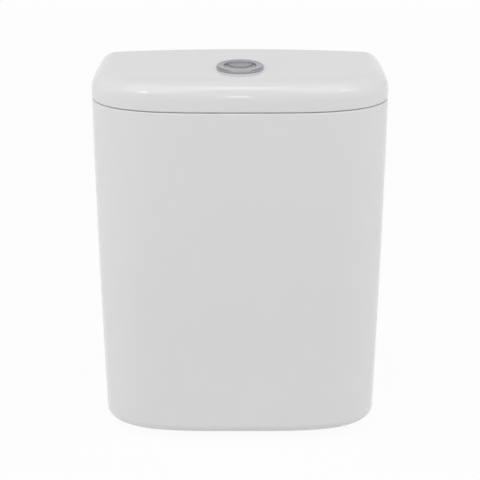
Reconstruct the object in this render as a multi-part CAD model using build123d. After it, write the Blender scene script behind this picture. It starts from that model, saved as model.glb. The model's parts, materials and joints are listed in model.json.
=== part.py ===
from build123d import *
from math import cos, pi, sin
import os

os.makedirs("parts", exist_ok=True)

# Close-coupled toilet cistern with a dual-flush drop valve and a bottom-entry fill valve.
# Millimetres. X to the right, -Y to the front, +Y to the wall, +Z up.
# The origin is on the axis of the flush outlet, in the underside plane of the tank floor.
# The walls run on below the floor as a foot that hides the fittings under it.

# China tank
tank_width = 365.0              # at the rim
tank_depth = 160.0              # front-most point to the wall plane, at the rim
tank_height = 422.0             # lower edge to rim
foot_depth = 34.0               # the floor's underside above the lower edge
foot_wall = 15.0
gasket_clearance = 2.5          # coupling gasket to the inside of the foot, in front
front_lean = 6.0                # how far the front draws back at the base
side_lean = 12.5                # how far each side draws in at the base
side_bow = 1.1                  # how far the walls swell at half height
nose_length = 77.4              # front-most point to the widest point, at the rim
base_nose_length = 76.0
wall_draw_in = 5.2              # how far each side draws in from the widest point to the wall
china_wall = 9.0
china_floor = 12.0
base_round = 13.0               # rounding of the lower outer edge
rim_chamfer = 1.3               # on the outer edge of the rim
cavity_chamfer = 8.0            # slope at the foot of the inside
recess_chamfer = 2.0            # slope at the roof of the recess under the floor
cavity_corner_round = 13.0      # rounding of the rear inside corners
screw_hole_radius = 4.5
screw_hole_spacing = 220.0
screw_hole_drop = 37.0          # below the rim

# China lid
lid_edge_height = 35.2          # rim to the upper end of the edge rounding
lid_crown = 3.6                 # rise of the top from the sides to the middle
lid_edge_round = 26.0
lid_foot_chamfer = 1.0
lid_rear_round = 2.0
lid_roof = 13.5                 # china above the hollow, at the middle
skirt_clearance = 2.5
skirt_thickness = 5.5
skirt_depth = 10.0
skirt_chamfer = 1.5
lid_hollow_chamfer = 7.0
button_hole_radius = 24.0

# Outline of the tank: a curve x = a sin(t)^(2/n), y = b cos(t) and then the sides
nose_power = 3.85
nose_steps = 6
side_shares = (0.5, 1.0, 1.3)   # of the run from the widest point to the wall

# Push button
gasket_thickness = 1.0
gasket_width = 4.0
bezel_radius = 29.0
bezel_rise = 3.1
bezel_chamfer = 0.9
bezel_bore = 20.0
bezel_shank_radius = 23.0
bezel_shank_length = 40.0
bezel_mouth_chamfer = 0.8
lid_nut_radius = 33.0
lid_nut_height = 9.0
lid_nut_flange = 2.5
lid_nut_lugs = 8
lid_nut_lug_depth = 3.0
lid_nut_lug_width = 9.0
button_recess = 1.0             # button faces below the top of the ring
button_depth = 9.0
button_gap = 0.6                # between the two buttons
button_play = 0.3               # between a button and the bore
button_edge = 0.4
button_wall = 1.8
button_top = 2.4
split_radius = 17.2             # radius of the arc between the two buttons
split_reach = 4.5               # how far the arc passes in front of the axis
full_rod_y = 8.0
half_rod_y = -12.0
rod_radius = 3.0
rod_socket_radius = 5.0
rod_socket_drop = 5.0           # below the underside of a button
rod_screw_length = 8.0          # of the rod inside its socket
rod_tip_radius = 0.6
rod_tip_height = 2.4
housing_plate = 3.0
housing_wall = 2.0
housing_flange = 3.0
housing_grip = 2.6              # flange beyond the sleeve
spring_radius = 6.5
spring_wall = 1.0
spring_room = 17.0              # length at rest

# Flush valve
running_gap = 0.3
seat_gap = 0.2
valve_washer_thickness = 3.0
valve_washer_radius = 40.0
tail_radius = 29.8
tail_bore = 25.0
seat_bore = 26.5
tail_length = 32.0              # below the china
base_flange_radius = 40.0
base_flange_thickness = 4.0
seat_width = 2.5
seat_rise = 4.0
outlet_hole_radius = 32.5
flush_nut_radius = 38.0
flush_nut_height = 12.0
flush_nut_flange = 3.0
flush_nut_flange_radius = 39.5
flush_nut_lugs = 8
flush_nut_lug_width = 9.0
flush_nut_lug_depth = 2.2
coupling_gasket_radius = 42.5
coupling_gasket_height = 33.5
coupling_gasket_slope = 4.0     # width and height of the slope at its foot
cage_radius = 38.5
cage_wall = 2.5
cage_foot_height = 8.0
cage_window_height = 25.0
cage_drum_top = 110.0
cage_plate = 4.0
cage_legs = 4
cage_leg_width = 13.0
cage_collar_rise = 10.0
cage_collar_wall = 3.0
cage_grooves = 8
cage_groove_width = 6.0
cage_groove_depth = 0.8
column_width = 16.0
column_thickness = 5.0
column_y = 30.0
column_rib = 4.0
head_plate_bottom = 302.0
head_plate = 4.0
head_radius = 34.0
head_hole_radius = 11.0
guide_tab_width = 13.0
guide_tab_reach = 5.0           # tab beyond the slider that it guides
guide_wall = 4.0
tube_radius = 15.0
tube_wall = 2.0
tube_top = 286.0
disc_radius = 30.0
disc_thickness = 3.0
disc_ribs = 6
disc_rib_rise = 10.0
disc_rib_thickness = 1.6
seal_thickness = 2.5
seal_radius = 30.5
clamp_radius = 22.0
clamp_height = 6.0
yoke_ring_bottom = 262.0
yoke_ring_height = 9.0
yoke_ring_wall = 5.0
lever_width = 12.0
lever_thickness = 5.0
lever_rise = 3.0                # top face above the pivot
pivot_height = 322.0
pad_arm = 18.0                  # pivot to push rod
lift_arm = 27.0                 # pivot to lifting tip
pad_reach = 6.0                 # pad beyond the push rod
lever_hub_radius = 4.6
lever_round = 1.0
pin_radius = 2.0
pin_play = 0.1
ear_thickness = 2.5
ear_width = 10.0
ear_rise = 5.0                  # ear above the pivot
tip_play = 1.3                  # lever tip to the slider beside it
slider_thickness = 4.0
slider_width = 8.0
ledge_reach = 8.0
ledge_thickness = 4.0
slider_round = 0.8
trip_foot = 72.0                # lower end of the half-flush trip rod
half_float_bottom = 160.0
half_float_height = 45.0
half_float_length = 34.0
half_float_outer = 24.0         # float on the outer side of the trip rod
half_float_inner = 5.0          # float on the inner side of the trip rod
half_float_corner = 4.0

# Coupling bolts
bolt_spacing = 152.0
bolt_radius = 4.0
bolt_length = 45.0              # below the china
bolt_shank_radius = 3.6         # above the rolled thread
bolt_thread_drop = 4.0          # upper end of the thread below the china
bolt_hole_radius = 6.0
bolt_head_radius = 7.5
bolt_head_height = 5.3
cone_radius = 14.0
cone_top_radius = 10.5
cone_height = 7.0
steel_washer_radius = 12.0
steel_washer_thickness = 1.6

# Water inlet: fill valve on the right, blanking plug on the left
inlet_x = 112.0
inlet_hole_radius = 12.5
inlet_thread_radius = 10.45
inlet_bore = 6.0
inlet_tail_length = 40.0        # below the china
inlet_groove_drop = 12.0        # groove between the nut's thread and the connector's, below the china
inlet_groove_width = 2.0
inlet_groove_depth = 0.9
inlet_washer_thickness = 3.0
inlet_washer_radius = 17.0
shank_flange_radius = 18.0
shank_flange_thickness = 4.0
standpipe_radius = 9.0
standpipe_top = 200.0
inlet_nut_across = 30.0
inlet_nut_height = 10.0
inlet_nut_flange_radius = 19.0
inlet_nut_flange = 2.0
filter_length = 12.0
filter_floor = 2.0
filter_wall = 1.0
riser_radius = 11.5
riser_bottom = 78.0
riser_top = 332.0
riser_foot_radius = 14.0
riser_foot_height = 12.0
lock_collar_radius = 17.0
lock_collar_height = 16.0
lock_collar_lugs = 6
lock_collar_lug_width = 4.0
lock_collar_lug_depth = 1.2
stop_ring_height = 4.0
cup_bottom = 250.0
cup_height = 58.0
cup_radius = 29.0
cup_wall = 1.8
cup_roof = 2.5
cup_chamfer = 3.0
cup_guide_gap = 0.6
fill_head_radius = 17.0
fill_head_height = 20.0
fill_outlet_radius = 5.5
fill_outlet_wall = 1.5
fill_outlet_offset = 5.0        # height of the side outlet above the foot of the head
fill_outlet_reach = 27.0        # side outlet from the riser axis
fill_cap_radius = 18.5
fill_cap_height = 6.5
fill_cap_lugs = 8
fill_cap_lug_width = 5.0
fill_cap_lug_depth = 1.2
fill_pivot_rise = 7.0           # pivot above the cap
fill_pad_arm = 8.0
fill_link_arm = 25.0
fill_lever_width = 9.0
fill_lever_thickness = 4.0
fill_lever_drop = 2.0           # lower face of the lever below the pivot
fill_lever_end = 4.0            # lever beyond the link rod
fill_hub_radius = 3.9
fill_pin_radius = 1.5
plunger_radius = 2.0
plunger_depth = 6.0             # of its way in the cap
plunger_travel = 3.0
link_radius = 2.5
link_clip_radius = 5.0
link_clip_height = 6.0
plug_head_radius = 17.0
plug_head_height = 4.0
plug_thread_length = 18.0       # below the china
plug_nut_height = 8.0
plug_washer_thickness = 2.5

overrun = 20.0                  # how far a cutting tool passes the piece that it cuts

# Heights that follow
rim_height = tank_height - foot_depth
lower_edge = -foot_depth
lid_top = rim_height + lid_edge_height + lid_crown
bezel_foot = lid_top + gasket_thickness
bezel_top = bezel_foot + bezel_rise
bezel_shank_end = bezel_foot - bezel_shank_length
lid_roof_under = lid_top - lid_roof
button_face = bezel_top - button_recess
button_under = button_face - button_depth
housing_top = button_under - spring_room
lever_top = pivot_height + lever_rise
rod_tip = lever_top + running_gap
valve_floor = china_floor + valve_washer_thickness
valve_deck = valve_floor + base_flange_thickness
seat_top = valve_deck + seat_rise
seal_top = seat_top + seal_thickness
head_plate_top = head_plate_bottom + head_plate
front_plane = -(coupling_gasket_radius + gasket_clearance + foot_wall + front_lean)
wall_plane = front_plane + tank_depth
tank_base_width = tank_width - 2 * side_lean
tip_x = pad_arm + lift_arm
slider_x = tip_x + tip_play
ledge_under = lever_top + running_gap
fill_cap_foot = riser_top + fill_head_height
fill_cap_top = fill_cap_foot + fill_cap_height
fill_pivot_height = fill_cap_top + fill_pivot_rise
link_tip = fill_pivot_height - fill_lever_drop - running_gap
link_x = inlet_x + fill_link_arm
plunger_x = inlet_x - fill_pad_arm
upright = (Align.CENTER, Align.CENTER, Align.MIN)


# Basic forms

def disc(radius, low, high, x=0, y=0):
    return Pos(x, y, low) * Cylinder(radius, high - low, align=upright)


def ring(outer, inner, low, high, x=0, y=0):
    bore = disc(inner, low - overrun, high + overrun, x, y)
    return disc(outer, low, high, x, y) - bore


def cone(foot_radius, top_radius, low, high, x=0, y=0):
    return Pos(x, y, low) * Cone(foot_radius, top_radius, high - low, align=upright)


def block(x0, x1, y0, y1, z0, z1):
    return Pos((x0 + x1) / 2, (y0 + y1) / 2, (z0 + z1) / 2) * Box(x1 - x0, y1 - y0, z1 - z0)


def cross_pin(radius, x, z, y0, y1):
    # a round bar along Y
    return Pos(x, (y0 + y1) / 2, z) * Rot(90, 0, 0) * Cylinder(radius, y1 - y0)


def around(count, piece, turn=0):
    return [Rot(0, 0, turn + 360 * step / count) * piece for step in range(count)]


def save(name, shape):
    shape.label = name
    export_step(shape, "parts/" + name + ".step")


def level_edges(shape, height):
    return shape.edges().filter_by_position(Axis.Z, height - china_wall / 1000, height + china_wall / 1000)


# China tank and lid

def tank_outline(half_width, nose, front, height):
    widest = front + nose
    side_run = wall_plane - widest
    right = []
    for step in range(1, nose_steps + 1):
        turn = pi / 2 * step / nose_steps
        right.append((half_width * sin(turn) ** (2 / nose_power), widest - nose * cos(turn)))
    for share in side_shares:
        right.append((half_width - wall_draw_in * share ** 2, widest + side_run * share))
    left = [(-x, y) for x, y in reversed(right)]
    points = left + [(0, front)] + right
    outline = Spline(*points) + Line(points[-1], points[0])
    return Pos(0, 0, height) * make_face(outline)


def rim_outline(inset, height):
    half_width = tank_width / 2 - inset
    return tank_outline(half_width, nose_length - inset, front_plane + inset, height)


def base_outline(inset, height):
    front = front_plane + front_lean + inset
    return tank_outline(tank_base_width / 2 - inset, base_nose_length - inset, front, height)


def middle_outline(inset, height):
    half_width = (tank_width + tank_base_width) / 4 + side_bow - inset
    nose = (nose_length + base_nose_length) / 2 - inset
    front = front_plane + front_lean / 2 - side_bow + inset
    return tank_outline(half_width, nose, front, height)


def tank_form(inset):
    sections = [base_outline(inset, lower_edge), middle_outline(inset, lower_edge + tank_height / 2),
                rim_outline(inset, rim_height)]
    return loft(sections)


def behind(plane_y):
    # everything on the wall side of a plane, to cut away
    return block(-tank_width, tank_width, plane_y, plane_y + tank_depth, -tank_height, 2 * tank_height)


def rear_corners(shape):
    # the two upright edges on the wall side
    def is_upright(edge):
        tangent = edge.tangent_at(0)
        return abs(tangent.Z) > abs(tangent.X)

    return shape.edges().filter_by(is_upright).sort_by(Axis.Y)[-2:]


def tank_cavity():
    cavity = tank_form(china_wall) - behind(wall_plane - china_wall)
    cavity -= block(-tank_width, tank_width, -tank_depth, tank_depth, -tank_height, china_floor)
    cavity = fillet(rear_corners(cavity), cavity_corner_round)
    return chamfer(level_edges(cavity, china_floor), cavity_chamfer)


def foot_recess():
    recess = tank_form(foot_wall) - behind(wall_plane - foot_wall)
    recess -= block(-tank_width, tank_width, -tank_depth, tank_depth, 0, 2 * tank_height)
    recess = fillet(rear_corners(recess), cavity_corner_round)
    return chamfer(level_edges(recess, 0), recess_chamfer)


def cistern_body():
    outer = tank_form(0)
    outer = fillet(level_edges(outer, lower_edge).sort_by(SortBy.LENGTH)[-1], base_round)
    outer -= behind(wall_plane)
    outer = chamfer(level_edges(outer, rim_height), rim_chamfer)
    body = outer - tank_cavity() - foot_recess()
    body -= disc(outlet_hole_radius, -overrun, china_floor + overrun)
    for side in (-1, 1):
        body -= disc(bolt_hole_radius, -overrun, china_floor + overrun, side * bolt_spacing / 2)
        body -= disc(inlet_hole_radius, -overrun, china_floor + overrun, side * inlet_x)
        body -= cross_pin(screw_hole_radius, side * screw_hole_spacing / 2, rim_height - screw_hole_drop,
                          wall_plane - china_wall - overrun, wall_plane + overrun)
    return body


def lid_crown_form():
    half_span = tank_width / 2 - lid_edge_round
    radius = (half_span ** 2 + lid_crown ** 2) / (2 * lid_crown)
    return cross_pin(radius, 0, lid_top - radius, -2 * tank_depth, 2 * tank_depth)


def lid_form():
    prism = extrude(rim_outline(0, rim_height), lid_edge_height + lid_crown + overrun)
    form = prism & lid_crown_form()
    top_edge = form.faces().sort_by(Axis.Z)[-1].edges().sort_by(SortBy.LENGTH)[-1]
    form = fillet(top_edge, lid_edge_round)
    form -= behind(wall_plane)
    rear_edges = form.faces().sort_by(Axis.Y)[-1].edges()
    return fillet(rear_edges.filter_by(GeomType.CIRCLE), lid_rear_round)


def lid_hollow():
    inset = china_wall + skirt_clearance + skirt_thickness
    low = rim_height - skirt_depth - overrun
    hollow = extrude(rim_outline(inset, low), lid_roof_under - low)
    hollow -= behind(wall_plane - inset)
    hollow = fillet(rear_corners(hollow), cavity_corner_round)
    return chamfer(level_edges(hollow, lid_roof_under), lid_hollow_chamfer)


def lid_skirt():
    inset = china_wall + skirt_clearance
    skirt = extrude(rim_outline(inset, rim_height - skirt_depth), skirt_depth + skirt_thickness)
    skirt -= behind(wall_plane - inset)
    skirt = fillet(rear_corners(skirt), cavity_corner_round)
    return chamfer(level_edges(skirt, rim_height - skirt_depth), skirt_chamfer)


def lid():
    form = lid_form()
    form = chamfer(level_edges(form, rim_height), lid_foot_chamfer)
    form = form + lid_skirt() - lid_hollow()
    return form - disc(button_hole_radius, rim_height, lid_top + overrun)


# Push button

def button_bezel():
    bezel = disc(bezel_radius, bezel_foot, bezel_top)
    bezel = chamfer(level_edges(bezel, bezel_top), bezel_chamfer)
    bezel += disc(bezel_shank_radius, bezel_shank_end, bezel_foot)
    bezel -= disc(bezel_bore, bezel_shank_end - overrun, bezel_top + overrun)
    mouth = level_edges(bezel, bezel_top).sort_by(SortBy.LENGTH)[0]
    return chamfer(mouth, bezel_mouth_chamfer)


def bezel_gasket():
    return ring(bezel_radius - gasket_thickness, bezel_radius - gasket_thickness - gasket_width,
                lid_top, bezel_foot)


def lid_nut():
    inner = bezel_shank_radius + seat_gap
    foot = lid_roof_under - lid_nut_height
    nut = disc(lid_nut_radius, lid_roof_under - lid_nut_flange, lid_roof_under)
    nut += disc(lid_nut_radius - lid_nut_lug_depth, foot, lid_roof_under)
    lug = block(0, lid_nut_radius, -lid_nut_lug_width / 2, lid_nut_lug_width / 2, foot, lid_roof_under)
    nut += [lug & disc(lid_nut_radius, foot, lid_roof_under) for lug in around(lid_nut_lugs, lug)]
    return nut - disc(inner, foot - overrun, lid_roof_under + overrun)


def button_housing():
    sleeve_radius = bezel_bore - seat_gap
    housing = disc(sleeve_radius, bezel_shank_end, housing_top)
    housing += disc(sleeve_radius + housing_grip, bezel_shank_end - housing_flange, bezel_shank_end)
    housing -= disc(sleeve_radius - housing_wall, bezel_shank_end - housing_flange - overrun,
                    housing_top - housing_plate)
    for rod_y in (full_rod_y, half_rod_y):
        housing -= disc(rod_radius + running_gap, bezel_shank_end, housing_top + overrun, 0, rod_y)
    return housing


def full_region(gap, low, high):
    # the round field of the full-flush button, grown by a gap
    return disc(split_radius + gap, low, high, 0, split_radius - split_reach)


def button_cap(region, rod_y):
    # a moulded cap: face and side wall, hollow below, with a socket for the push rod
    cap = chamfer(level_edges(region, button_face), button_edge)
    hollow_top = button_face - button_top
    hollow = offset(region.faces().sort_by(Axis.Z)[0], -button_wall)
    cap -= extrude(hollow, hollow_top - button_under)
    socket_foot = button_under - rod_socket_drop
    cap += disc(rod_socket_radius, socket_foot, hollow_top, 0, rod_y)
    hole = disc(rod_radius + seat_gap, socket_foot - overrun, socket_foot + rod_screw_length, 0, rod_y)
    return cap - hole


def full_flush_button():
    field = disc(bezel_bore - button_play, button_under, button_face)
    region = field & full_region(-button_gap / 2, button_under, button_face)
    return button_cap(region, full_rod_y)


def half_flush_button():
    field = disc(bezel_bore - button_play, button_under, button_face)
    region = field - full_region(button_gap / 2, button_under - overrun, button_face + overrun)
    return button_cap(region, half_rod_y)


def push_rod(rod_y):
    top = button_under - rod_socket_drop + rod_screw_length - seat_gap
    rod = disc(rod_radius, rod_tip + rod_tip_height, top, 0, rod_y)
    return rod + cone(rod_tip_radius, rod_radius, rod_tip, rod_tip + rod_tip_height, 0, rod_y)


def return_spring(rod_y):
    return ring(spring_radius, spring_radius - spring_wall, housing_top, button_under, 0, rod_y)


# Flush valve, fixed pieces

def valve_base():
    base = disc(base_flange_radius, valve_floor, valve_deck)
    base += disc(tail_radius, -tail_length, valve_floor)
    base += disc(seat_bore + seat_width, valve_deck, seat_top)
    base -= disc(seat_bore, china_floor, seat_top + overrun)
    base -= disc(tail_bore, -tail_length - overrun, seat_top)
    return base


def valve_base_washer():
    return ring(valve_washer_radius, tail_radius + running_gap, china_floor, valve_floor)


def flush_backnut():
    foot = -flush_nut_height
    nut = disc(flush_nut_flange_radius, -flush_nut_flange, 0)
    nut += disc(flush_nut_radius - flush_nut_lug_depth, foot, 0)
    lug = block(0, flush_nut_radius, -flush_nut_lug_width / 2, flush_nut_lug_width / 2, foot, 0)
    nut += [lug & disc(flush_nut_radius, foot, 0) for lug in around(flush_nut_lugs, lug)]
    return nut - disc(tail_radius + seat_gap, foot - overrun, overrun)


def coupling_gasket():
    top = -running_gap
    foot = top - coupling_gasket_height
    gasket = disc(coupling_gasket_radius, foot, top)
    gasket = chamfer(level_edges(gasket, foot), coupling_gasket_slope)
    gasket -= disc(flush_nut_flange_radius + running_gap, -flush_nut_height - running_gap, overrun)
    return gasket - disc(tail_radius + seat_gap, foot - overrun, overrun)


def column(side):
    low = cage_drum_top
    inner = column_y - column_thickness / 2
    bar = block(-column_width / 2, column_width / 2, inner, inner + column_thickness, low, head_plate_bottom)
    rib_outer = inner + column_thickness + column_rib
    bar += block(-column_thickness / 4, column_thickness / 4, inner, rib_outer, low, head_plate_bottom)
    return Rot(0, 0, 0 if side > 0 else 180) * bar


def guide_tab(side, slider_y, low, high, root_radius):
    # a tab that reaches out round one of the sliders, with the slider's slot in it
    outer = slider_x + slider_thickness + guide_tab_reach
    tab = block(root_radius, outer, slider_y - guide_tab_width / 2, slider_y + guide_tab_width / 2, low, high)
    slot = block(slider_x - running_gap, slider_x + slider_thickness + running_gap,
                 slider_y - slider_width / 2 - running_gap, slider_y + slider_width / 2 + running_gap,
                 low - overrun, high + overrun)
    mirrored = tab - slot
    return mirrored if side > 0 else mirror(mirrored, Plane.YZ)


def valve_cage():
    window_foot = valve_deck + cage_foot_height
    window_top = window_foot + cage_window_height
    inner = cage_radius - cage_wall
    plate_foot = cage_drum_top - cage_plate
    cage = ring(cage_radius, inner, valve_deck, cage_drum_top)
    leg = block(0, cage_radius + cage_wall, -cage_leg_width / 2, cage_leg_width / 2, window_foot, window_top)
    windows = ring(cage_radius + overrun, inner - overrun / 4, window_foot, window_top)
    windows -= around(cage_legs, leg, 360 / cage_legs / 2)
    cage -= windows
    groove = block(cage_radius - cage_groove_depth, cage_radius + overrun, -cage_groove_width / 2,
                   cage_groove_width / 2, window_top + cage_foot_height, plate_foot - cage_foot_height)
    cage -= around(cage_grooves, groove, 360 / cage_grooves / 2)
    cage += ring(inner + cage_wall / 2, tube_radius + running_gap, plate_foot, cage_drum_top)
    cage += ring(tube_radius + cage_collar_wall, tube_radius + running_gap, plate_foot,
                 cage_drum_top + cage_collar_rise)
    cage += guide_tab(-1, half_rod_y, plate_foot, cage_drum_top, inner)
    for side in (-1, 1):
        cage += column(side)
    return cage


def pivot_ears(side, lever_y):
    # two ears that carry a lever's pin
    x0 = pad_arm - ear_width / 2
    gap = lever_width / 2 + running_gap
    ears = block(x0, x0 + ear_width, lever_y - gap - ear_thickness, lever_y + gap + ear_thickness,
                 head_plate_top, pivot_height + ear_rise)
    ears -= block(x0 - overrun, x0 + ear_width + overrun, lever_y - gap, lever_y + gap,
                  head_plate_top, pivot_height + ear_rise + overrun)
    ears -= cross_pin(pin_radius + pin_play / 2, pad_arm, pivot_height, lever_y - overrun, lever_y + overrun)
    return ears if side > 0 else mirror(ears, Plane.YZ)


def valve_head():
    head = ring(head_radius, head_hole_radius, head_plate_bottom, head_plate_top)
    inner = head_radius - guide_wall
    head += guide_tab(1, full_rod_y, head_plate_bottom, head_plate_top, inner)
    head += guide_tab(-1, half_rod_y, head_plate_bottom, head_plate_top, inner)
    return head + pivot_ears(1, full_rod_y) + pivot_ears(-1, half_rod_y)


def lever_pin(side, lever_y):
    reach = lever_width / 2 + running_gap + ear_thickness
    return cross_pin(pin_radius, side * pad_arm, pivot_height, lever_y - reach, lever_y + reach)


# Flush valve, moving pieces

def valve_lever(side, lever_y):
    low = lever_top - lever_thickness
    half = lever_width / 2
    plate = block(-pad_reach, tip_x, lever_y - half, lever_y + half, low, lever_top)
    plate = fillet(plate.edges().filter_by(Axis.Z), lever_round)
    plate += cross_pin(lever_hub_radius, pad_arm, pivot_height, lever_y - half, lever_y + half)
    plate -= cross_pin(pin_radius + pin_play, pad_arm, pivot_height, lever_y - 2 * half, lever_y + 2 * half)
    return plate if side > 0 else mirror(plate, Plane.YZ)


def slider_form(side, slider_y, foot):
    # an upright strip with a ledge over the lever's lifting tip
    y0 = slider_y - slider_width / 2
    y1 = slider_y + slider_width / 2
    ledge_top = ledge_under + ledge_thickness
    strip = block(slider_x, slider_x + slider_thickness, y0, y1, foot, ledge_top)
    strip += block(slider_x - ledge_reach, slider_x + slider_thickness, y0, y1, ledge_under, ledge_top)
    top_edges = level_edges(strip, ledge_top).filter_by(Axis.Y)
    strip = fillet(top_edges, slider_round)
    return strip if side > 0 else mirror(strip, Plane.YZ)


def lift_yoke():
    top = yoke_ring_bottom + yoke_ring_height
    outer = tube_radius + yoke_ring_wall
    y0 = full_rod_y - slider_width / 2
    y1 = full_rod_y + slider_width / 2
    arm = block(tube_radius, slider_x + slider_thickness, y0, y1, yoke_ring_bottom, top - slider_thickness)
    yoke = disc(outer, yoke_ring_bottom, top) + arm + slider_form(1, full_rod_y, yoke_ring_bottom)
    return yoke - disc(tube_radius + seat_gap, yoke_ring_bottom - overrun, top + overrun)


def overflow_tube():
    foot = seat_top - clamp_height
    tube = disc(tube_radius, foot, tube_top) + disc(disc_radius, seal_top, seal_top + disc_thickness)
    rib_top = seal_top + disc_thickness + disc_rib_rise
    rib_inner = tube_radius - tube_wall
    rib_outer = disc_radius - disc_thickness
    rib = Polyline((rib_inner, seal_top), (rib_outer, seal_top), (rib_outer, seal_top + disc_thickness),
                   (rib_inner, rib_top), close=True)
    rib = extrude(Plane.XZ * make_face(rib), disc_rib_thickness / 2, both=True)
    tube += around(disc_ribs, rib)
    return tube - disc(tube_radius - tube_wall, foot - overrun, tube_top + overrun)


def valve_seal():
    return ring(seal_radius, tube_radius + seat_gap, seat_top, seal_top)


def seal_clamp():
    inner = tube_radius + seat_gap
    return ring(clamp_radius, inner, seat_top - clamp_height, seat_top)


def half_trip_rod():
    return slider_form(-1, half_rod_y, trip_foot)


def half_flush_float():
    x0 = -slider_x - slider_thickness - half_float_outer
    x1 = -slider_x + half_float_inner
    y0 = half_rod_y - half_float_length / 2
    top = half_float_bottom + half_float_height
    form = block(x0, x1, y0, y0 + half_float_length, half_float_bottom, top)
    form = fillet(form.edges().filter_by(Axis.Z), half_float_corner)
    slot = block(-slider_x - slider_thickness - seat_gap, -slider_x + seat_gap,
                 half_rod_y - slider_width / 2 - seat_gap, half_rod_y + slider_width / 2 + seat_gap,
                 half_float_bottom - overrun, top + overrun)
    return form - slot


# Coupling set

def pair(piece):
    return [Pos(side * bolt_spacing / 2, 0, 0) * piece for side in (-1, 1)]


def coupling_bolt():
    washer_top = china_floor + cone_height + steel_washer_thickness
    head = extrude(Pos(0, 0, washer_top) * RegularPolygon(bolt_head_radius, 6), bolt_head_height)
    shank = disc(bolt_shank_radius, -bolt_thread_drop, washer_top)
    return head + shank + disc(bolt_radius, -bolt_length, -bolt_thread_drop)


def cone_washer():
    rubber = cone(cone_radius, cone_top_radius, china_floor, china_floor + cone_height)
    return rubber - disc(bolt_radius + seat_gap, china_floor - overrun, china_floor + cone_height + overrun)


def steel_washer():
    foot = china_floor + cone_height
    return ring(steel_washer_radius, bolt_radius + seat_gap, foot, foot + steel_washer_thickness)


# Fill valve

def hex_nut(x, height):
    body = extrude(Pos(x, 0, -height) * RegularPolygon(inlet_nut_across / 2, 6, major_radius=False), height)
    body += disc(inlet_nut_flange_radius, -inlet_nut_flange, 0, x)
    return body - disc(inlet_thread_radius + seat_gap, -height - overrun, overrun, x)


def fill_shank():
    flange_foot = china_floor + inlet_washer_thickness
    shank = disc(inlet_thread_radius, -inlet_tail_length, flange_foot, inlet_x)
    shank += disc(shank_flange_radius, flange_foot, flange_foot + shank_flange_thickness, inlet_x)
    shank += disc(standpipe_radius, flange_foot, standpipe_top, inlet_x)
    groove_foot = -inlet_groove_drop - inlet_groove_width
    shank -= ring(inlet_thread_radius + overrun, inlet_thread_radius - inlet_groove_depth,
                  groove_foot, -inlet_groove_drop, inlet_x)
    return shank - disc(inlet_bore, -inlet_tail_length - overrun, standpipe_top + overrun, inlet_x)


def fill_washer():
    return ring(inlet_washer_radius, inlet_thread_radius + seat_gap, china_floor,
                china_floor + inlet_washer_thickness, inlet_x)


def inlet_filter():
    outer = inlet_bore - seat_gap
    foot = -inlet_tail_length
    cup = disc(outer, foot, foot + filter_length, inlet_x)
    return cup - disc(outer - filter_wall, foot - overrun, foot + filter_length - filter_floor, inlet_x)


def riser_tube():
    riser = disc(riser_radius, riser_bottom, riser_top, inlet_x)
    riser += disc(riser_foot_radius, riser_bottom, riser_bottom + riser_foot_height, inlet_x)
    stop_top = cup_bottom - running_gap
    riser += disc(riser_foot_radius, stop_top - stop_ring_height, stop_top, inlet_x)
    return riser - disc(standpipe_radius + running_gap, riser_bottom - overrun, riser_top + overrun, inlet_x)


def lock_collar():
    top = riser_bottom - running_gap
    low = top - lock_collar_height
    collar = disc(lock_collar_radius - lock_collar_lug_depth, low, top)
    lug = block(0, lock_collar_radius, -lock_collar_lug_width / 2, lock_collar_lug_width / 2, low, top)
    collar += [lug & disc(lock_collar_radius, low, top) for lug in around(lock_collar_lugs, lug)]
    collar -= disc(standpipe_radius + seat_gap, low - overrun, top + overrun)
    return Pos(inlet_x, 0, 0) * collar


def fill_head():
    head = disc(fill_head_radius, riser_top, fill_cap_foot)
    outlet_z = riser_top + fill_outlet_offset + fill_outlet_radius
    lying = Rot(0, 90, 0)
    head += Pos(-fill_outlet_reach / 2, 0, outlet_z) * lying * Cylinder(fill_outlet_radius, fill_outlet_reach)
    way = fill_outlet_radius - fill_outlet_wall
    head -= Pos(-fill_outlet_reach, 0, outlet_z) * lying * Cylinder(way, fill_outlet_reach)
    return Pos(inlet_x, 0, 0) * head


def fill_cap():
    cap = disc(fill_cap_radius - fill_cap_lug_depth, fill_cap_foot, fill_cap_top)
    half_lug = fill_cap_lug_width / 2
    lug = block(0, fill_cap_radius, -half_lug, half_lug, fill_cap_foot, fill_cap_top)
    cap += [lug & disc(fill_cap_radius, fill_cap_foot, fill_cap_top) for lug in around(fill_cap_lugs, lug)]
    gap = fill_lever_width / 2 + running_gap
    outer = gap + ear_thickness
    ear_top = fill_pivot_height + fill_hub_radius
    ears = block(-fill_hub_radius, fill_hub_radius, -outer, outer, fill_cap_top, ear_top)
    ears -= block(-overrun, overrun, -gap, gap, fill_cap_top, ear_top + overrun)
    ears -= cross_pin(fill_pin_radius + pin_play / 2, 0, fill_pivot_height, -overrun, overrun)
    cap += ears
    cap -= disc(plunger_radius + running_gap, fill_cap_top - plunger_depth, fill_cap_top + overrun,
                -fill_pad_arm)
    return Pos(inlet_x, 0, 0) * cap


def fill_lever():
    low = fill_pivot_height - fill_lever_drop
    half = fill_lever_width / 2
    x0 = plunger_x - plunger_radius
    plate = block(x0, link_x + fill_lever_end, -half, half, low, low + fill_lever_thickness)
    plate = fillet(plate.edges().filter_by(Axis.Z), lever_round)
    plate += cross_pin(fill_hub_radius, inlet_x, fill_pivot_height, -half, half)
    return plate - cross_pin(fill_pin_radius + pin_play, inlet_x, fill_pivot_height, -2 * half, 2 * half)


def fill_lever_pin():
    reach = fill_lever_width / 2 + running_gap + ear_thickness
    return cross_pin(fill_pin_radius, inlet_x, fill_pivot_height, -reach, reach)


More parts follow.
